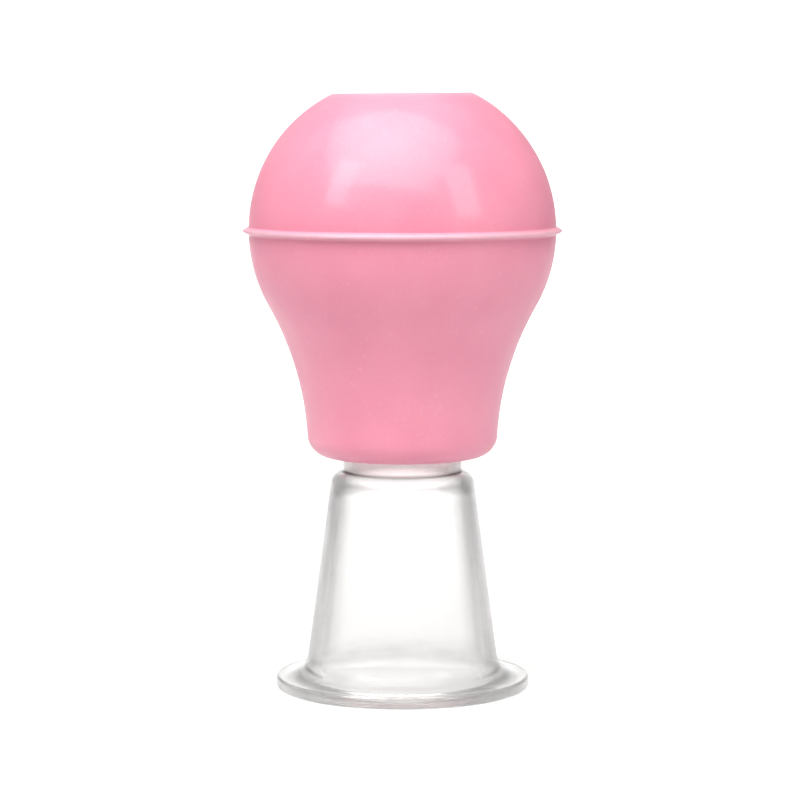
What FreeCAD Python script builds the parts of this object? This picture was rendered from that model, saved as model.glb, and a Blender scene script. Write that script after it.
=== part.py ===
"""Hand-held cupping cup: a clear rigid bell cup whose hollow spigot carries a soft squeeze bulb.

The whole object is turned about the Z axis. It stands mouth down on its flange, so the origin is
on the axis, in the plane of the flange's underside, and +Z points up to the bulb's crown.
The bulb is moulded as two shells, which are bonded face to face at the raised ridge round its
widest place. Its thick mouth is a socket that pushes over the spigot until the spigot's top end
meets the ledge inside.
"""

import FreeCAD, Part
import math
import os

# Driving dimensions in millimetres. Heights are measured up from the flange's underside.

# Cup: the bell
FLANGE_RADIUS = 20.8
FLANGE_THICKNESS = 1.9
FLANGE_EDGE_ROUNDING = 0.5
CUP_FOOT_RADIUS = 16.2          # where the outside of the tapered wall would meet height 0
CUP_SHOULDER_RADIUS = 11.55     # where the outside of the wall would meet the shoulder
CUP_WALL = 1.8
SHOULDER_HEIGHT = 35.6
SHOULDER_ROUNDING = 1.9
FLARE_ROUNDING = 4.0            # hollow curve from the wall out to the flange
MOUTH_ROUNDING = 1.7            # lip that lies on the skin
CEILING_ROUNDING = 5.0          # where the wall's inside turns into the conical ceiling

# Cup: the spigot that the bulb pushes onto
SPIGOT_RADIUS = 9.75
SPIGOT_BORE_RADIUS = 7.9
SPIGOT_BORE_ROOT_HEIGHT = 35.3  # top of the conical ceiling
SPIGOT_LENGTH = 12.6            # above the shoulder
SPIGOT_EDGE_ROUNDING = 0.4

# Bulb: outside
BULB_RADIUS = 25.1              # a ball centred on the axis at the seam, without the ridge
SEAM_HEIGHT = 75.2
CROWN_HEIGHT = 97.6
CROWN_EDGE_ROUNDING = 0.6
WAIST_RADIUS = 15.5             # narrowest place of the funnel below the ball
WAIST_HEIGHT = 38.6
BULB_BOTTOM_HEIGHT = 38.2
BULB_BOTTOM_ROUNDING = 3.5

# Bulb: the ridge, half of its thickness on each shell
RIDGE_RADIUS = 26.15
RIDGE_ROOT_THICKNESS = 1.3
RIDGE_TIP_THICKNESS = 0.3

# Bulb: inside
BULB_WALL = 2.2
CROWN_THICKNESS = 2.4
FIT_GAP = 0.05                  # radial, between the spigot and the socket
THROAT_RADIUS = 8.0
CHAMBER_FLOOR_HEIGHT = 51.2
CHAMBER_FLOOR_ROUNDING = 2.0
SOCKET_EDGE_ROUNDING = 0.4

# Derived dimensions
CEILING_HEIGHT = SHOULDER_HEIGHT - CUP_WALL     # foot of the conical ceiling
SPIGOT_TOP_HEIGHT = SHOULDER_HEIGHT + SPIGOT_LENGTH
SOCKET_RADIUS = SPIGOT_RADIUS + FIT_GAP
CHAMBER_RADIUS = BULB_RADIUS - BULB_WALL
WALL_TAPER = (CUP_FOOT_RADIUS - CUP_SHOULDER_RADIUS) / SHOULDER_HEIGHT

AXIS_POINT = FreeCAD.Vector(0, 0, 0)
AXIS_DIRECTION = FreeCAD.Vector(0, 0, 1)
BALL_CENTRE = FreeCAD.Vector(0, 0, SEAM_HEIGHT)
FULL_TURN = 360
SAME_PLACE = 1e-6


def at(radius, height):
    """Point of an outline, which is drawn in the plane Y = 0."""
    return FreeCAD.Vector(radius, 0, height)


def straight(*points):
    """Straight edges from each point to the next."""
    return [Part.LineSegment(a, b).toShape() for a, b in zip(points, points[1:])]


def on_arc(centre, radius, height):
    """Point at a height on a circle's outer side, or on its side nearer the axis if radius is negative."""
    reach = math.sqrt(radius ** 2 - (height - centre.z) ** 2)
    return at(centre.x + math.copysign(reach, radius), height)


def arc(centre, radius, start_height, end_height):
    """Arc edge between two heights on the side of the circle that on_arc describes."""
    heights = (start_height, (start_height + end_height) / 2, end_height)
    return [Part.Arc(*(on_arc(centre, radius, height) for height in heights)).toShape()]


def turned(edges):
    """Solid turned about the Z axis from an outline's edges, given in order."""
    return Part.Face(Part.Wire(edges)).revolve(AXIS_POINT, AXIS_DIRECTION, FULL_TURN)


def rounded(solid, rounding, *corners):
    """Round the solid's circular edges that pass through the outline's corners."""

    def passes(edge, corner):
        circle = edge.Curve
        if not isinstance(circle, Part.Circle):
            return False
        return math.hypot(circle.Radius - corner.x, circle.Center.z - corner.z) < SAME_PLACE

    edges = [edge for edge in solid.Edges if any(passes(edge, corner) for corner in corners)]
    return solid.makeFillet(rounding, edges)


def cup_outside(height):
    """Outline corner on the outside of the cup's tapered wall."""
    return at(CUP_FOOT_RADIUS - WALL_TAPER * height, height)


def cup_inside(height):
    """Outline corner on the inside of the cup's tapered wall."""
    return cup_outside(height) - FreeCAD.Vector(CUP_WALL, 0, 0)


def cup():
    """Bell with its flange, and the hollow spigot on its shoulder, as one moulding."""
    lip = cup_inside(0)
    flange_under = at(FLANGE_RADIUS, 0)
    flange_over = at(FLANGE_RADIUS, FLANGE_THICKNESS)
    wall_foot = cup_outside(FLANGE_THICKNESS)
    shoulder = cup_outside(SHOULDER_HEIGHT)
    spigot_root = at(SPIGOT_RADIUS, SHOULDER_HEIGHT)
    spigot_end = at(SPIGOT_RADIUS, SPIGOT_TOP_HEIGHT)
    bore_end = at(SPIGOT_BORE_RADIUS, SPIGOT_TOP_HEIGHT)
    bore_root = at(SPIGOT_BORE_RADIUS, SPIGOT_BORE_ROOT_HEIGHT)
    ceiling = cup_inside(CEILING_HEIGHT)
    bell = turned(
        straight(
            lip,
            flange_under,
            flange_over,
            wall_foot,
            shoulder,
            spigot_root,
            spigot_end,
            bore_end,
            bore_root,
            ceiling,
            lip,
        )
    )
    bell = rounded(bell, FLARE_ROUNDING, wall_foot)
    bell = rounded(bell, FLANGE_EDGE_ROUNDING, flange_under, flange_over)
    bell = rounded(bell, SHOULDER_ROUNDING, shoulder)
    bell = rounded(bell, MOUTH_ROUNDING, lip)
    bell = rounded(bell, CEILING_ROUNDING, ceiling)
    return rounded(bell, SPIGOT_EDGE_ROUNDING, spigot_end, bore_end, bore_root)


def funnel_arc():
    """Centre and radius of the funnel's hollow side, which runs on from the ball in line.

    The funnel's circle touches the ball's circle, so the distance between their centres is the
    sum of their radii, and that fixes the radius.
    """
    rise = SEAM_HEIGHT - WAIST_HEIGHT
    radius = (WAIST_RADIUS ** 2 + rise ** 2 - BULB_RADIUS ** 2) / (2 * (BULB_RADIUS - WAIST_RADIUS))
    return at(WAIST_RADIUS + radius, WAIST_HEIGHT), radius


def bulb_lower_shell():
    """Lower half of the bulb: socket, ledge, throat, funnel, and the under side of the ridge."""
    funnel, funnel_radius = funnel_arc()
    outward = (funnel - BALL_CENTRE).normalize()
    touch = BALL_CENTRE + outward * BULB_RADIUS
    ridge_root_height = SEAM_HEIGHT - RIDGE_ROOT_THICKNESS / 2
    bottom = on_arc(funnel, -funnel_radius, BULB_BOTTOM_HEIGHT)
    outside = (
        arc(funnel, -funnel_radius, BULB_BOTTOM_HEIGHT, touch.z)
        + arc(BALL_CENTRE, BULB_RADIUS, touch.z, ridge_root_height)
        + straight(
            on_arc(BALL_CENTRE, BULB_RADIUS, ridge_root_height),
            at(RIDGE_RADIUS, SEAM_HEIGHT - RIDGE_TIP_THICKNESS / 2),
            at(RIDGE_RADIUS, SEAM_HEIGHT),
            at(CHAMBER_RADIUS, SEAM_HEIGHT),
        )
    )
    inner_funnel_radius = funnel_radius + BULB_WALL
    inner_touch = BALL_CENTRE + outward * CHAMBER_RADIUS
    floor_edge = on_arc(funnel, -inner_funnel_radius, CHAMBER_FLOOR_HEIGHT)
    throat_top = at(THROAT_RADIUS, CHAMBER_FLOOR_HEIGHT)
    socket_mouth = at(SOCKET_RADIUS, BULB_BOTTOM_HEIGHT)
    inside = (
        arc(BALL_CENTRE, CHAMBER_RADIUS, SEAM_HEIGHT, inner_touch.z)
        + arc(funnel, -inner_funnel_radius, inner_touch.z, CHAMBER_FLOOR_HEIGHT)
        + straight(
            floor_edge,
            throat_top,
            at(THROAT_RADIUS, SPIGOT_TOP_HEIGHT),
            at(SOCKET_RADIUS, SPIGOT_TOP_HEIGHT),
            socket_mouth,
            bottom,
        )
    )
    shell = turned(outside + inside)
    shell = rounded(shell, BULB_BOTTOM_ROUNDING, bottom)
    shell = rounded(shell, CHAMBER_FLOOR_ROUNDING, floor_edge)
    return rounded(shell, SOCKET_EDGE_ROUNDING, throat_top, socket_mouth)


def bulb_upper_shell():
    """Upper half of the bulb: dome with a flat crown, and the upper side of the ridge."""
    ridge_root_height = SEAM_HEIGHT + RIDGE_ROOT_THICKNESS / 2
    crown_underside = CROWN_HEIGHT - CROWN_THICKNESS
    crown_edge = on_arc(BALL_CENTRE, BULB_RADIUS, CROWN_HEIGHT)
    outline = (
        straight(
            at(CHAMBER_RADIUS, SEAM_HEIGHT),
            at(RIDGE_RADIUS, SEAM_HEIGHT),
            at(RIDGE_RADIUS, SEAM_HEIGHT + RIDGE_TIP_THICKNESS / 2),
            on_arc(BALL_CENTRE, BULB_RADIUS, ridge_root_height),
        )
        + arc(BALL_CENTRE, BULB_RADIUS, ridge_root_height, CROWN_HEIGHT)
        + straight(
            crown_edge,
            at(0, CROWN_HEIGHT),
            at(0, crown_underside),
            on_arc(BALL_CENTRE, CHAMBER_RADIUS, crown_underside),
        )
        + arc(BALL_CENTRE, CHAMBER_RADIUS, crown_underside, SEAM_HEIGHT)
    )
    return rounded(turned(outline), CROWN_EDGE_ROUNDING, crown_edge)


os.makedirs("parts", exist_ok=True)
for make_node in (cup, bulb_lower_shell, bulb_upper_shell):
    make_node().exportStep(f"parts/{make_node.__name__}.step")
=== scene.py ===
"""Looks of the hand-held cupping cup: a clear bell cup and a soft squeeze bulb, on a pale floor.

Outlines are drawn in millimetres as (radius, height) and turned about the Z axis. The sizes that
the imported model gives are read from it, and the rest are named below.
"""

import math

import bmesh
import bpy
from mathutils import Euler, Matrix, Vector, noise


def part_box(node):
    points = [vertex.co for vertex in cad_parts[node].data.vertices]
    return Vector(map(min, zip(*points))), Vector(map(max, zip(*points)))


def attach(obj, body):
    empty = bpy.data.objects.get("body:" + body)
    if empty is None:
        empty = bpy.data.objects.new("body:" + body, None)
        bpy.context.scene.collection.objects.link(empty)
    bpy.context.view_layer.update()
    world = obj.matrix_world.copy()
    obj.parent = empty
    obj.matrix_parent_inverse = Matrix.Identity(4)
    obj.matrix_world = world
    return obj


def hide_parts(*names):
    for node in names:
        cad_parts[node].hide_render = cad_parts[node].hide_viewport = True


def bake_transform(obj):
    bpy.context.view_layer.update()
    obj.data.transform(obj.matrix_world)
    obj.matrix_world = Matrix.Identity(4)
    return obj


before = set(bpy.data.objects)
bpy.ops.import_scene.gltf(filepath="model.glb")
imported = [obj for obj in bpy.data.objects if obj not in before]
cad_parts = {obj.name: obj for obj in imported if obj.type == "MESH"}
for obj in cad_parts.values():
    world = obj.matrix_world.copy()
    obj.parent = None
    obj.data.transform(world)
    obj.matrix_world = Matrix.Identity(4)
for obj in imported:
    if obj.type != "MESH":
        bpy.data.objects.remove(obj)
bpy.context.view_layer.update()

MM = 0.001
TURN = 2 * math.pi
QUARTER = math.pi / 2


def box_mm(node):
    """Lowest and highest corner of a CAD node in millimetres."""
    low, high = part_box(node)
    return low / MM, high / MM


_, CUP_HIGH = box_mm("cup")
SHELL_LOW, SHELL_HIGH = box_mm("bulb_lower_shell")
_, DOME_HIGH = box_mm("bulb_upper_shell")

# Cup, in millimetres
FLANGE_RADIUS = CUP_HIGH.x
FLANGE_THICKNESS = 1.9
FLANGE_EDGE_ROUNDING = 0.5
CUP_FOOT_RADIUS = 16.2
CUP_SHOULDER_RADIUS = 11.55
CUP_WALL = 1.8
SHOULDER_HEIGHT = 35.6
SHOULDER_ROUNDING = 1.9
FLARE_ROUNDING = 4.0
MOUTH_ROUNDING = 1.7
CEILING_ROUNDING = 5.0
SPIGOT_RADIUS = 9.75
SPIGOT_BORE_RADIUS = 7.9
SPIGOT_BORE_ROOT_HEIGHT = 35.3
SPIGOT_EDGE_ROUNDING = 0.4
SPIGOT_TOP_HEIGHT = CUP_HIGH.z
CEILING_HEIGHT = SHOULDER_HEIGHT - CUP_WALL
WALL_TAPER = (CUP_FOOT_RADIUS - CUP_SHOULDER_RADIUS) / SHOULDER_HEIGHT
WALL_WAVE = 0.04
WALL_WAVE_GRAIN = (0.25, 0.25, 0.08)    # waves per millimetre in x, y and z

# Marks and painted light and shade on the cup, in millimetres
WALL_FADE = 3.0                 # down from the shoulder's rounding
SIDE_FADE = 0.5                 # outwards, at a mark's side
# Painted shade on the inside of the lip, low in the cup
LIP_SHADE_TOP = 4.0
LIP_SHADE_FADE = 1.5
HAZE_FOOT = 25
HAZE_FADE = 9
# Painted reflection of the pink bulb on the neck
PINK_REFLECTION_FADE = 3                  # up from the bulb's bottom
PINK_REFLECTION_FOOT_FADE = 0.6           # down to the shoulder
# Painted shade round the spigot's root
ROOT_SHADE_HEIGHT = 0.1              # above the shoulder
ROOT_SHADE_REACH = 0.56
ROOT_SHADE_FADE = 0.35

# Bulb, in millimetres
SEAM_HEIGHT = SHELL_HIGH.z
RIDGE_RADIUS = SHELL_HIGH.x
RIDGE_ROOT_THICKNESS = 1.3
RIDGE_TIP_THICKNESS = 0.3
RIDGE_ROOT_ROUNDING = 0.25
RIDGE_WAVE = 0.09
RIDGE_WAVE_GRAIN = 0.35
RUBBED_REACH = 2.0
BULB_RADIUS = 25.1
BULB_WALL = 2.2
BULB_BOTTOM_HEIGHT = SHELL_LOW.z
BULB_BOTTOM_ROUNDING = 3.5
WAIST_RADIUS = 15.5
WAIST_HEIGHT = 38.6
CROWN_HEIGHT = DOME_HIGH.z
CROWN_THICKNESS = 2.4
CROWN_EDGE_ROUNDING = 0.7
CROWN_SAG = 0.25
CROWN_LEAN = 0.1
CROWN_RADIUS = math.sqrt(BULB_RADIUS ** 2 - (CROWN_HEIGHT - SEAM_HEIGHT) ** 2)
SOCKET_RADIUS = 9.8
SOCKET_EDGE_ROUNDING = 0.4
THROAT_RADIUS = 8.0
CHAMBER_FLOOR_HEIGHT = 51.2
CHAMBER_FLOOR_ROUNDING = 2.0
CHAMBER_RADIUS = BULB_RADIUS - BULB_WALL

# Mesh density
SEGMENTS = 192
STEP = 0.7
ARC_POINTS = 9


# ---------------------------------------------------------------- outlines


def straight(start, end):
    """Points from start to end, at most STEP apart."""
    start, end = Vector(start), Vector(end)
    count = max(1, math.ceil((end - start).length / STEP))
    return [start.lerp(end, i / count) for i in range(count + 1)]


def on_arc(centre, radius, height):
    """Point at a height on a circle's outer side, or on its side nearer the axis if radius is negative."""
    reach = math.sqrt(radius ** 2 - (height - centre.y) ** 2)
    return Vector((centre.x + math.copysign(reach, radius), height))


def arc(centre, radius, start_height, end_height):
    """Points along an arc between two heights, at most STEP apart."""
    start = on_arc(centre, radius, start_height) - centre
    end = on_arc(centre, radius, end_height) - centre
    first = math.atan2(start.y, start.x)
    turn = (math.atan2(end.y, end.x) - first + math.pi) % TURN - math.pi
    count = max(1, math.ceil(abs(turn * radius) / STEP))
    angles = [first + turn * i / count for i in range(count + 1)]
    return [centre + abs(radius) * Vector((math.cos(a), math.sin(a))) for a in angles]


def shortened(points, length):
    """The points without the last stretch of that length."""
    points = list(points)
    while (points[-1] - points[-2]).length <= length:
        length -= (points[-1] - points[-2]).length
        points.pop()
    points[-1] = points[-1].lerp(points[-2], length / (points[-1] - points[-2]).length)
    return points


def bend(start, corner, end, weight):
    """Points inside a rounded corner, along a conic that leaves start and reaches end in line."""
    points = []
    for i in range(1, ARC_POINTS):
        t = i / ARC_POINTS
        shares = ((1 - t) ** 2, 2 * weight * t * (1 - t), t ** 2)
        points.append((start * shares[0] + corner * shares[1] + end * shares[2]) / sum(shares))
    return points


def outline(*parts):
    """Join runs of points that meet end to start. A number between two runs rounds their corner."""
    points = list(parts[0])
    rounding = None
    for part in parts[1:]:
        if isinstance(part, (int, float)):
            rounding = part
            continue
        if rounding is None:
            points += part[1:]
            continue
        corner = part[0]
        half_turn = (corner - points[-2]).angle(part[1] - corner) / 2
        cut = rounding * math.tan(half_turn)
        points = shortened(points, cut)
        rest = shortened(part[::-1], cut)[::-1]
        points += bend(points[-1], corner, rest[0], math.cos(half_turn)) + rest
        rounding = None
    return points


# ---------------------------------------------------------------- meshes


def turned(name, points, stray):
    """Piece turned about the Z axis from a closed outline, whose first and last points are the same.

    An outline that starts and ends on the axis is closed by the axis. stray gives how far the real
    moulding is from the true turned form at a place, as (outward, upward).
    """
    on_axis = points[0].x == 0
    rings = []
    mesh = bmesh.new()
    for radius, height in points if on_axis else points[:-1]:
        ring = []
        for i in range(SEGMENTS if radius else 1):
            way = Vector((math.cos(TURN * i / SEGMENTS), math.sin(TURN * i / SEGMENTS), 0))
            outward, upward = stray(way * radius + Vector((0, 0, height)))
            place = way * (radius + outward) + Vector((0, 0, height + upward))
            ring.append(mesh.verts.new(place * MM))
        rings.append(ring)
    pairs = list(zip(rings, rings[1:]))
    if not on_axis:
        pairs.append((rings[-1], rings[0]))
    for low, high in pairs:
        for i in range(SEGMENTS):
            j = (i + 1) % SEGMENTS
            corners = [low[i % len(low)], low[j % len(low)], high[j % len(high)], high[i % len(high)]]
            mesh.faces.new(dict.fromkeys(corners))
    bmesh.ops.recalc_face_normals(mesh, faces=mesh.faces)
    data = bpy.data.meshes.new(name)
    mesh.to_mesh(data)
    mesh.free()
    data.shade_smooth()
    piece = bpy.data.objects.new(name, data)
    bpy.context.scene.collection.objects.link(piece)
    keep_rest(piece)
    return piece


def keep_rest(piece):
    """Store each vertex's place in millimetres, so that a pattern stays put when the piece is squeezed."""
    rest = piece.data.attributes.new("rest", "FLOAT_VECTOR", "POINT")
    for vertex, place in zip(piece.data.vertices, rest.data):
        place.vector = vertex.co / MM


def mask(piece, name, share):
    """Store a number from 0 to 1 on each vertex, which share works out from its place in millimetres."""
    attribute = piece.data.attributes.new(name, "FLOAT", "POINT")
    for vertex, entry in zip(piece.data.vertices, attribute.data):
        entry.value = min(1, max(0, share(vertex.co / MM)))


def radius_at(place):
    """Distance from the axis."""
    return math.hypot(place.x, place.y)


def cup_outside(height):
    """Corner on the outside of the cup's tapered wall."""
    return Vector((CUP_FOOT_RADIUS - WALL_TAPER * height, height))


def cup_inside(height):
    """Corner on the inside of the cup's tapered wall."""
    return cup_outside(height) - Vector((CUP_WALL, 0))


def cup_stray(place):
    """The inside of the wall is a little uneven, as on any moulded cup."""
    wall = cup_outside(place.z).x - CUP_WALL / 2
    if place.z > CEILING_HEIGHT or radius_at(place) > wall:
        return 0, 0
    return WALL_WAVE * noise.noise(place * Vector(WALL_WAVE_GRAIN)), 0


def make_cup():
    """Bell, flange and hollow spigot as one clear moulding."""
    lip = cup_inside(0)
    under = (FLANGE_RADIUS, 0)
    over = (FLANGE_RADIUS, FLANGE_THICKNESS)
    foot = cup_outside(FLANGE_THICKNESS)
    shoulder = cup_outside(SHOULDER_HEIGHT)
    spigot_root = (SPIGOT_RADIUS, SHOULDER_HEIGHT)
    spigot_end = (SPIGOT_RADIUS, SPIGOT_TOP_HEIGHT)
    bore_end = (SPIGOT_BORE_RADIUS, SPIGOT_TOP_HEIGHT)
    bore_root = (SPIGOT_BORE_RADIUS, SPIGOT_BORE_ROOT_HEIGHT)
    ceiling = cup_inside(CEILING_HEIGHT)
    wall_middle = cup_inside(SHOULDER_HEIGHT / 2)
    points = outline(
        straight(wall_middle, lip),
        MOUTH_ROUNDING,
        straight(lip, under),
        FLANGE_EDGE_ROUNDING,
        straight(under, over),
        FLANGE_EDGE_ROUNDING,
        straight(over, foot),
        FLARE_ROUNDING,
        straight(foot, shoulder),
        SHOULDER_ROUNDING,
        straight(shoulder, spigot_root),
        SPIGOT_EDGE_ROUNDING,
        straight(spigot_root, spigot_end),
        SPIGOT_EDGE_ROUNDING,
        straight(spigot_end, bore_end),
        SPIGOT_EDGE_ROUNDING,
        straight(bore_end, bore_root),
        SPIGOT_EDGE_ROUNDING,
        straight(bore_root, ceiling),
        CEILING_ROUNDING,
        straight(ceiling, wall_middle),
    )
    return turned("clear_cup", points, cup_stray)


def mark_cup(cup):
    """Masks for the cup's finish.

    They give the upright wall, which takes painted shade where it is seen edge on, the inside of the lip,
    which takes painted shade, the top that the mould left hazy, the neck, which takes a painted reflection
    of the pink bulb, and a line of painted shade round the spigot's root.
    """

    def wall(place):
        foot = (place.z - FLANGE_THICKNESS / 2) / FLARE_ROUNDING
        top = (SHOULDER_HEIGHT - SHOULDER_ROUNDING - place.z) / WALL_FADE
        return min(foot, top)

    # Painted shade on the inside of the lip.
    def lip(place):
        inside = (cup_outside(place.z).x - CUP_WALL / 2 - radius_at(place)) / SIDE_FADE
        return min(inside, (LIP_SHADE_TOP - place.z) / LIP_SHADE_FADE)

    def hazy(place):
        return (place.z - HAZE_FOOT) / HAZE_FADE

    # Painted reflection of the pink bulb on the neck.
    def pink_reflection(place):
        inward = SPIGOT_RADIUS + SIDE_FADE - radius_at(place)
        above_shoulder = (place.z - SHOULDER_HEIGHT) / PINK_REFLECTION_FOOT_FADE
        below_bulb = 1 + (BULB_BOTTOM_HEIGHT - place.z) / PINK_REFLECTION_FADE
        return min(inward, above_shoulder, below_bulb)

    # Painted shade: a dark line round the spigot's root.
    def root_shade(place):
        root = Vector((SPIGOT_RADIUS, SHOULDER_HEIGHT + ROOT_SHADE_HEIGHT))
        distance = (Vector((radius_at(place), place.z)) - root).length
        return (ROOT_SHADE_REACH - distance) / ROOT_SHADE_FADE

    mask(cup, "wall", wall)
    mask(cup, "lip", lip)
    mask(cup, "hazy", hazy)
    mask(cup, "pink_reflection", pink_reflection)
    mask(cup, "root_shade", root_shade)


def bulb_stray(place):
    """The ridge's edge is a little ragged, and the crown sags in its middle and leans to one side."""
    radius = radius_at(place)
    ragged = min(1, max(0, (radius - BULB_RADIUS) / (RIDGE_RADIUS - BULB_RADIUS)))
    outward = -RIDGE_WAVE * ragged * (1 + noise.noise(place.xy.to_3d() * RIDGE_WAVE_GRAIN))
    crown = min(1, max(0, (place.z - CROWN_HEIGHT + CROWN_RADIUS) / CROWN_RADIUS)) ** 2
    sag = CROWN_SAG * max(0, 1 - (radius / CROWN_RADIUS) ** 2)
    lean = CROWN_LEAN * (1 - place.x / CROWN_RADIUS)
    return outward, -crown * (sag + lean)


def funnel_arc():
    """Centre and radius of the funnel's hollow side, which runs on from the ball in line."""
    rise = SEAM_HEIGHT - WAIST_HEIGHT
    radius = (WAIST_RADIUS ** 2 + rise ** 2 - BULB_RADIUS ** 2) / (2 * (BULB_RADIUS - WAIST_RADIUS))
    return Vector((WAIST_RADIUS + radius, WAIST_HEIGHT)), radius


def make_lower_shell():
    """Soft funnel below the seam, with the socket in its mouth and the under side of the ridge."""
    ball = Vector((0, SEAM_HEIGHT))
    funnel, funnel_radius = funnel_arc()
    outward = (funnel - ball).normalized()
    touch_height = (ball + outward * BULB_RADIUS).y
    inner_touch_height = (ball + outward * CHAMBER_RADIUS).y
    inner_funnel_radius = funnel_radius + BULB_WALL
    root_height = SEAM_HEIGHT - RIDGE_ROOT_THICKNESS / 2
    root = on_arc(ball, BULB_RADIUS, root_height)
    tip = (RIDGE_RADIUS, SEAM_HEIGHT - RIDGE_TIP_THICKNESS / 2)
    rim = (RIDGE_RADIUS, SEAM_HEIGHT)
    rim_inside = (CHAMBER_RADIUS, SEAM_HEIGHT)
    floor = on_arc(funnel, -inner_funnel_radius, CHAMBER_FLOOR_HEIGHT)
    throat = (THROAT_RADIUS, CHAMBER_FLOOR_HEIGHT)
    ledge = (THROAT_RADIUS, SPIGOT_TOP_HEIGHT)
    socket_end = (SOCKET_RADIUS, SPIGOT_TOP_HEIGHT)
    socket_mouth = (SOCKET_RADIUS, BULB_BOTTOM_HEIGHT)
    bottom = on_arc(funnel, -funnel_radius, BULB_BOTTOM_HEIGHT)
    points = outline(
        straight(ledge, socket_end),
        straight(socket_end, socket_mouth),
        SOCKET_EDGE_ROUNDING,
        straight(socket_mouth, bottom),
        BULB_BOTTOM_ROUNDING,
        arc(funnel, -funnel_radius, BULB_BOTTOM_HEIGHT, touch_height),
        arc(ball, BULB_RADIUS, touch_height, root_height),
        RIDGE_ROOT_ROUNDING,
        straight(root, tip),
        straight(tip, rim),
        straight(rim, rim_inside),
        arc(ball, CHAMBER_RADIUS, SEAM_HEIGHT, inner_touch_height),
        arc(funnel, -inner_funnel_radius, inner_touch_height, CHAMBER_FLOOR_HEIGHT),
        CHAMBER_FLOOR_ROUNDING,
        straight(floor, throat),
        SOCKET_EDGE_ROUNDING,
        straight(throat, ledge),
    )
    return turned("bulb_funnel", points, bulb_stray)


def make_upper_shell():
    """Soft dome above the seam, with the flat crown and the upper side of the ridge."""
    ball = Vector((0, SEAM_HEIGHT))
    root_height = SEAM_HEIGHT + RIDGE_ROOT_THICKNESS / 2
    root = on_arc(ball, BULB_RADIUS, root_height)
    tip = (RIDGE_RADIUS, SEAM_HEIGHT + RIDGE_TIP_THICKNESS / 2)
    rim = (RIDGE_RADIUS, SEAM_HEIGHT)
    rim_inside = (CHAMBER_RADIUS, SEAM_HEIGHT)
    crown_edge = (CROWN_RADIUS, CROWN_HEIGHT)
    underside = CROWN_HEIGHT - CROWN_THICKNESS
    points = outline(
        straight((0, underside), on_arc(ball, CHAMBER_RADIUS, underside)),
        arc(ball, CHAMBER_RADIUS, underside, SEAM_HEIGHT),
        straight(rim_inside, rim),
        straight(rim, tip),
        straight(tip, root),
        RIDGE_ROOT_ROUNDING,
        arc(ball, BULB_RADIUS, root_height, CROWN_HEIGHT),
        CROWN_EDGE_ROUNDING,
        straight(crown_edge, (0, CROWN_HEIGHT)),
    )
    return turned("bulb_dome", points, bulb_stray)


def mark_bulb(shell):
    """Masks for the bulb's finish: the thin ridge, which takes painted light, and where hands and moulds
    have rubbed it.
    """
    crown_edge = Vector((CROWN_RADIUS, CROWN_HEIGHT))
    bottom_edge = Vector((WAIST_RADIUS, BULB_BOTTOM_HEIGHT))

    def thin(place):
        return (radius_at(place) - BULB_RADIUS) / (RIDGE_RADIUS - BULB_RADIUS)

    def rubbed(place):
        spot = Vector((radius_at(place), place.z))
        return 1 - min((spot - crown_edge).length, (spot - bottom_edge).length) / RUBBED_REACH

    mask(shell, "thin", thin)
    mask(shell, "rubbed", rubbed)


# ---------------------------------------------------------------- materials

# Silicone
DEEP_PINK = (0.76, 0.252, 0.362, 1)
LIGHT_PINK = (0.82, 0.297, 0.408, 1)
SPECK_PINK = (0.95, 0.60, 0.68, 1)
RUBBED_PINK = (0.92, 0.52, 0.60, 1)
# Painted light: paler pink on the thin ridge.
RIDGE_LIGHT_PINK = (0.93, 0.60, 0.66, 1)
COAT = 0.65

# Clear plastic
CLEAR = (0.98, 0.977, 0.975, 1)
# Painted shade: the plastic is greyed where the wall is seen edge on.
EDGE_ON_SHADE = (0.46, 0.45, 0.455, 1)
# Painted shade: grey on the inside of the lip.
LIP_SHADE = (0.72, 0.715, 0.71, 1)
# Painted reflection of the pink bulb on the neck.
PINK_REFLECTION = (0.88, 0.71, 0.73, 1)
# Painted shade: a dark line round the spigot's root.
ROOT_SHADE = (0.28, 0.22, 0.22, 1)
LAMP_SHARE = (0.9, 0.9, 0.9, 1)         # what each surface lets through of a lamp's light
PLASTIC_BODY = (0.5, 0.5, 0.49, 1)

# Roughness of the plastic. The renderer's denoiser leaves speckles on it from 0.27 up.
SMUDGED = (0.14, 0.22)
HAZY = (0.245, 0.268)


def new_material(name):
    """Material with its node tree and its Principled shader."""
    material = bpy.data.materials.new(name)
    material.use_nodes = True
    return material, material.node_tree, material.node_tree.nodes["Principled BSDF"]


def set_inputs(node, **values):
    """Set a node's sockets by name, with underscores for spaces."""
    for name, value in values.items():
        node.inputs[name.replace("_", " ")].default_value = value


def attribute(tree, name, output="Fac"):
    """Output of an attribute that is stored on the mesh."""
    node = tree.nodes.new("ShaderNodeAttribute")
    node.attribute_name = name
    return node.outputs[output]


def pattern(tree, scale, detail=2.0):
    """Noise over the surface with features about 1 / scale millimetres apart in x, y and z."""
    stretch = tree.nodes.new("ShaderNodeVectorMath")
    stretch.operation = "MULTIPLY"
    stretch.inputs[1].default_value = scale
    tree.links.new(attribute(tree, "rest", "Vector"), stretch.inputs[0])
    texture = tree.nodes.new("ShaderNodeTexNoise")
    set_inputs(texture, Scale=1.0, Detail=detail)
    tree.links.new(stretch.outputs[0], texture.inputs["Vector"])
    return texture.outputs["Fac"]


def between(tree, value, low, high, start=0.3, end=0.7):
    """The value's range from start to end, spread from low to high."""
    node = tree.nodes.new("ShaderNodeMapRange")
    set_inputs(node, From_Min=start, From_Max=end, To_Min=low, To_Max=high)
    tree.links.new(value, node.inputs["Value"])
    return node.outputs["Result"]


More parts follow.
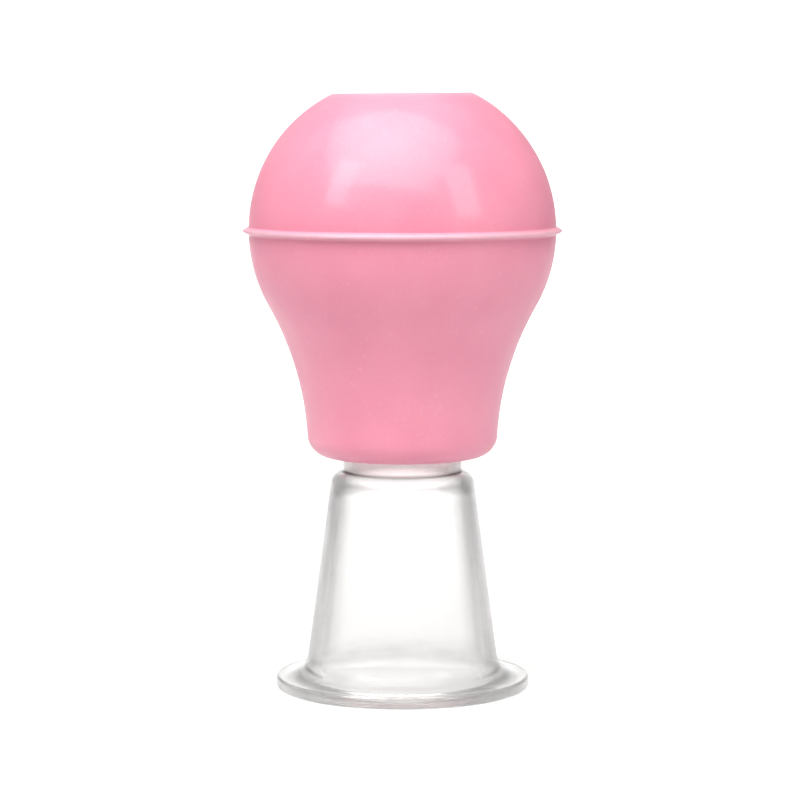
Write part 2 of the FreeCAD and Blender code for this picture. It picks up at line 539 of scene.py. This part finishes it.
def mix_colour(tree, share, first, second):
    """Colour from first to second by share. Each colour is a socket or a plain colour."""
    node = tree.nodes.new("ShaderNodeMix")
    node.data_type = "RGBA"
    tree.links.new(share, node.inputs["Factor"])
    for name, colour in (("A", first), ("B", second)):
        socket = [entry for entry in node.inputs if entry.name == name and entry.type == "RGBA"][0]
        if isinstance(colour, tuple):
            socket.default_value = colour
        else:
            tree.links.new(colour, socket)
    return [entry for entry in node.outputs if entry.type == "RGBA"][0]


def mix_number(tree, share, first, second):
    """Number from first to second by share. Both are sockets."""
    node = tree.nodes.new("ShaderNodeMix")
    tree.links.new(share, node.inputs[0])
    tree.links.new(first, node.inputs[2])
    tree.links.new(second, node.inputs[3])
    return node.outputs[0]


def add_bump(tree, height, depth_mm, normal=None):
    """Raise the surface by height, where a height of 1 stands depth_mm proud."""
    node = tree.nodes.new("ShaderNodeBump")
    set_inputs(node, Strength=1.0, Distance=depth_mm * MM)
    tree.links.new(height, node.inputs["Height"])
    if normal:
        tree.links.new(normal, node.inputs["Normal"])
    return node.outputs["Normal"]


def grazing(tree, low, high):
    """A number from 0, where the surface is seen at one tilt, to 1, where it is seen nearly edge on."""
    weight = tree.nodes.new("ShaderNodeLayerWeight")
    set_inputs(weight, Blend=0.5)
    return between(tree, weight.outputs["Facing"], 0, 1, low, high)


def make_silicone():
    """Satin pink silicone, paler where rubbed, with painted light on the thin ridge, a fine grain and
    mould marks.
    """
    material, tree, shader = new_material("pink_silicone")
    clouds = between(tree, pattern(tree, (0.07, 0.07, 0.07)), 0, 1)
    colour = mix_colour(tree, clouds, DEEP_PINK, LIGHT_PINK)
    specks = between(tree, pattern(tree, (1.6, 1.6, 1.6), 4), 0, 0.12, 0.58, 0.75)
    colour = mix_colour(tree, specks, colour, SPECK_PINK)
    rubbed = between(tree, attribute(tree, "rubbed"), 0, 0.3, 0.2, 1)
    colour = mix_colour(tree, rubbed, colour, RUBBED_PINK)
    # Painted light: the thin ridge is paler.
    thin = between(tree, attribute(tree, "thin"), 0, 0.48, 0, 1)
    colour = mix_colour(tree, thin, colour, RIDGE_LIGHT_PINK)
    tree.links.new(colour, shader.inputs["Base Color"])
    roughness = between(tree, pattern(tree, (0.16, 0.16, 0.16), 5), 0.30, 0.40)
    tree.links.new(roughness, shader.inputs["Roughness"])
    grain = add_bump(tree, pattern(tree, (5, 5, 5), 3), 0.012)
    rings = add_bump(tree, pattern(tree, (0.03, 0.03, 1.4), 3), 0.02, grain)
    tree.links.new(rings, shader.inputs["Normal"])
    gloss = between(tree, grazing(tree, 0.45, 0.8), COAT, 0, 0, 1)
    tree.links.new(gloss, shader.inputs["Coat Weight"])
    set_inputs(
        shader,
        IOR=1.43,
        Specular_IOR_Level=0.25,
        Subsurface_Weight=0.22,
        Subsurface_Radius=(1.0, 0.35, 0.4),
        Subsurface_Scale=2.5 * MM,
        Coat_Roughness=0.12,
    )
    return material


def let_lamps_through(tree, shader):
    """Lamps light what is inside and behind the clear plastic, as they do through a thin wall."""
    path = tree.nodes.new("ShaderNodeLightPath")
    unbent = tree.nodes.new("ShaderNodeBsdfTransparent")
    set_inputs(unbent, Color=LAMP_SHARE)
    choice = tree.nodes.new("ShaderNodeMixShader")
    tree.links.new(path.outputs["Is Shadow Ray"], choice.inputs["Fac"])
    tree.links.new(shader.outputs["BSDF"], choice.inputs[1])
    tree.links.new(unbent.outputs["BSDF"], choice.inputs[2])
    tree.links.new(choice.outputs["Shader"], tree.nodes["Material Output"].inputs["Surface"])


def make_clear_plastic():
    """Clear moulded plastic with flow lines up the wall, smudges and haze, painted shade edge on, at the
    lip and round the spigot's root, and a painted reflection of the pink bulb on the neck.
    """
    material, tree, shader = new_material("clear_plastic")
    # Painted shade: the upright wall is greyed where it is seen edge on.
    edge_on = mix_colour(tree, grazing(tree, 0.36, 0.62), CLEAR, EDGE_ON_SHADE)
    body = mix_colour(tree, attribute(tree, "wall"), CLEAR, edge_on)
    # Painted shade: the inside of the lip is greyed.
    body = mix_colour(tree, attribute(tree, "lip"), body, LIP_SHADE)
    # Painted reflection: the neck is tinted with the bulb's pink.
    colour = mix_colour(tree, attribute(tree, "pink_reflection"), body, PINK_REFLECTION)
    # Painted shade: a dark line round the spigot's root.
    colour = mix_colour(tree, attribute(tree, "root_shade"), colour, ROOT_SHADE)
    tree.links.new(colour, shader.inputs["Base Color"])
    smudges = between(tree, pattern(tree, (0.2, 0.2, 0.12), 4), *SMUDGED)
    haze = between(tree, pattern(tree, (0.8, 0.8, 0.8), 4), *HAZY)
    roughness = mix_number(tree, attribute(tree, "hazy"), smudges, haze)
    tree.links.new(roughness, shader.inputs["Roughness"])
    flow = add_bump(tree, pattern(tree, (0.9, 0.9, 0.05)), 0.02)
    rings = add_bump(tree, pattern(tree, (0.04, 0.04, 1.1)), 0.012, flow)
    tree.links.new(rings, shader.inputs["Normal"])
    set_inputs(shader, IOR=1.41, Transmission_Weight=0.95)
    let_lamps_through(tree, shader)
    depth = tree.nodes.new("ShaderNodeVolumeAbsorption")
    set_inputs(depth, Color=PLASTIC_BODY, Density=5.0)
    tree.links.new(depth.outputs["Volume"], tree.nodes["Material Output"].inputs["Volume"])
    return material


# ---------------------------------------------------------------- stage

# Light table and backdrop, in metres
TABLE_HALF_WIDTH = 0.17
TABLE_FRONT = -0.10
TABLE_FADE = 0.25
TABLE_GLOW = 0.50
FAR_GLOW = 0.04
SEEN_TABLE_GLOW = 0.57
SEEN_FAR_GLOW = 0.85
TABLE_GREY = (0.36, 0.36, 0.36, 1)
WHITE = (1, 1, 1, 1)
FLOOR_GAP = 0.0002          # the floor lies this far under the flange
FLOOR_HALF_WIDTH = 2.0
FLOOR_FRONT = -1.5
FLOOR_BACK = 1.2
BACKDROP_HEIGHT = 2.0
BACKDROP_CURVE = 0.6
CURVE_STEPS = 24

# Lights
KEY_TINT = (1, 0.99, 0.95)
GLOW_ALL_ROUND = 0.33

# Camera
LENS = 132.8
SENSOR_WIDTH = 36.0
CAMERA_PLACE = (-0.4, -481.6, 97.3)     # millimetres
CAMERA_TILT = 5.92                      # degrees below level


def maths(tree, operation, first, second):
    """Result of an operation on two numbers, each a socket or a plain number."""
    node = tree.nodes.new("ShaderNodeMath")
    node.operation = operation
    for socket, value in zip(node.inputs, (first, second)):
        if isinstance(value, (int, float)):
            socket.default_value = value
        else:
            tree.links.new(value, socket)
    return node.outputs[0]


def beyond_table(tree, place):
    """How far, in metres, a place on the floor is beyond the side or the front of the lit table."""
    parts = tree.nodes.new("ShaderNodeSeparateXYZ")
    tree.links.new(place, parts.inputs[0])
    side = maths(tree, "SUBTRACT", maths(tree, "ABSOLUTE", parts.outputs["X"], 0), TABLE_HALF_WIDTH)
    front = maths(tree, "SUBTRACT", TABLE_FRONT, parts.outputs["Y"])
    return maths(tree, "MAXIMUM", side, front)


def make_light_table():
    """Matt pale sheet with a faint tooth, softly lit from below so that shadows stay weak.

    Seen by the camera the whole sheet is pale. To every other ray it is bright in the table's area
    and dim beyond it, as if dark cards stood round the table, which gives clear plastic its outline.
    """
    material, tree, shader = new_material("light_table")
    place = tree.nodes.new("ShaderNodeTexCoord").outputs["Object"]
    texture = tree.nodes.new("ShaderNodeTexNoise")
    set_inputs(texture, Scale=900.0, Detail=3.0)
    tree.links.new(place, texture.inputs["Vector"])
    tree.links.new(add_bump(tree, texture.outputs["Fac"], 0.02), shader.inputs["Normal"])
    set_inputs(
        shader,
        Base_Color=TABLE_GREY,
        Roughness=0.9,
        Specular_IOR_Level=0.2,
        Emission_Color=WHITE,
    )
    beyond = beyond_table(tree, place)
    shed = between(tree, beyond, TABLE_GLOW, FAR_GLOW, 0, TABLE_FADE)
    seen = between(tree, beyond, SEEN_TABLE_GLOW, SEEN_FAR_GLOW, 0, TABLE_FADE)
    path = tree.nodes.new("ShaderNodeLightPath")
    glow = mix_number(tree, path.outputs["Is Camera Ray"], shed, seen)
    tree.links.new(glow, shader.inputs["Emission Strength"])
    return material


def make_floor():
    """Pale seamless floor that curves up into a backdrop."""
    bend_start = FLOOR_BACK - BACKDROP_CURVE
    profile = [(FLOOR_FRONT, 0.0)]
    for i in range(CURVE_STEPS + 1):
        angle = QUARTER * i / CURVE_STEPS
        rise = BACKDROP_CURVE * (1 - math.cos(angle))
        profile.append((bend_start + BACKDROP_CURVE * math.sin(angle), rise))
    profile.append((FLOOR_BACK, BACKDROP_HEIGHT))
    mesh = bmesh.new()
    edges = (-FLOOR_HALF_WIDTH, FLOOR_HALF_WIDTH)
    rows = [[mesh.verts.new((x, y, z - FLOOR_GAP)) for x in edges] for y, z in profile]
    for low, high in zip(rows, rows[1:]):
        mesh.faces.new((low[0], low[1], high[1], high[0]))
    data = bpy.data.meshes.new("floor")
    mesh.to_mesh(data)
    mesh.free()
    data.shade_smooth()
    data.materials.append(make_light_table())
    floor = bpy.data.objects.new("floor", data)
    bpy.context.scene.collection.objects.link(floor)


def add_softbox(name, target, azimuth, elevation, distance, size, radiance, spread=180, colour=(1, 1, 1)):
    """Rectangular light that faces a target, seen from it at an azimuth and elevation in degrees.

    Azimuth 0 is the camera's side, and a positive azimuth is to the camera's right.
    """
    a, e = math.radians(azimuth), math.radians(elevation)
    direction = Vector((math.sin(a) * math.cos(e), -math.cos(a) * math.cos(e), math.sin(e)))
    light = bpy.data.lights.new(name, "AREA")
    light.shape = "RECTANGLE"
    light.size, light.size_y = size
    light.spread = math.radians(spread)
    light.energy = radiance * math.pi * size[0] * size[1]
    light.color = colour
    lamp = bpy.data.objects.new(name, light)
    lamp.location = target + direction * distance
    lamp.rotation_euler = direction.to_track_quat("Z", "Y").to_euler()
    bpy.context.scene.collection.objects.link(lamp)


def make_lights():
    """Overhead softbox, a tall one at each side, one over the floor behind, and a soft glow all round."""
    bulb = Vector((0, 0, SEAM_HEIGHT)) * MM
    floor_behind = Vector((0, 0.7, 0))
    add_softbox("key_light", bulb, -20, 67, 0.7, (1.15, 0.9), 1.64, spread=104, colour=KEY_TINT)
    add_softbox("left_light", bulb, -53, 33, 0.7, (0.2, 0.40), 3.3)
    add_softbox("right_light", bulb, 50, 28, 0.7, (0.25, 0.45), 2.9)
    add_softbox("back_light", floor_behind, 0, 90, 0.8, (0.45, 0.6), 5.5, spread=64)
    world = bpy.data.worlds.new("world")
    world.use_nodes = True
    background = world.node_tree.nodes["Background"]
    set_inputs(background, Color=WHITE, Strength=GLOW_ALL_ROUND)
    bpy.context.scene.world = world


def make_camera():
    """Camera level with the crown, tilted down a little."""
    camera = bpy.data.cameras.new("camera")
    camera.lens = LENS
    camera.sensor_width = SENSOR_WIDTH
    rig = bpy.data.objects.new("camera", camera)
    rig.location = Vector(CAMERA_PLACE) * MM
    rig.rotation_euler = Euler((QUARTER - math.radians(CAMERA_TILT), 0, 0))
    bpy.context.scene.collection.objects.link(rig)
    bpy.context.scene.camera = rig


def set_picture():
    """Plain colours, and enough light bounces for the inside of clear plastic."""
    scene = bpy.context.scene
    scene.view_settings.view_transform = "Standard"
    scene.cycles.max_bounces = 32
    scene.cycles.glossy_bounces = 24
    scene.cycles.transmission_bounces = 24


# ---------------------------------------------------------------- the object


def stand_for(piece, node, material):
    """The piece stands for a CAD node, whose own mesh is hidden, and takes the material it is given."""
    piece.data.materials.append(material)
    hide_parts(node)


make_camera()
make_floor()
make_lights()
set_picture()

cup = make_cup()
mark_cup(cup)
stand_for(cup, "cup", make_clear_plastic())
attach(cup, "cup")

silicone = make_silicone()
for make_shell, node in ((make_lower_shell, "bulb_lower_shell"), (make_upper_shell, "bulb_upper_shell")):
    shell = make_shell()
    mark_bulb(shell)
    stand_for(shell, node, silicone)
    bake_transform(shell)
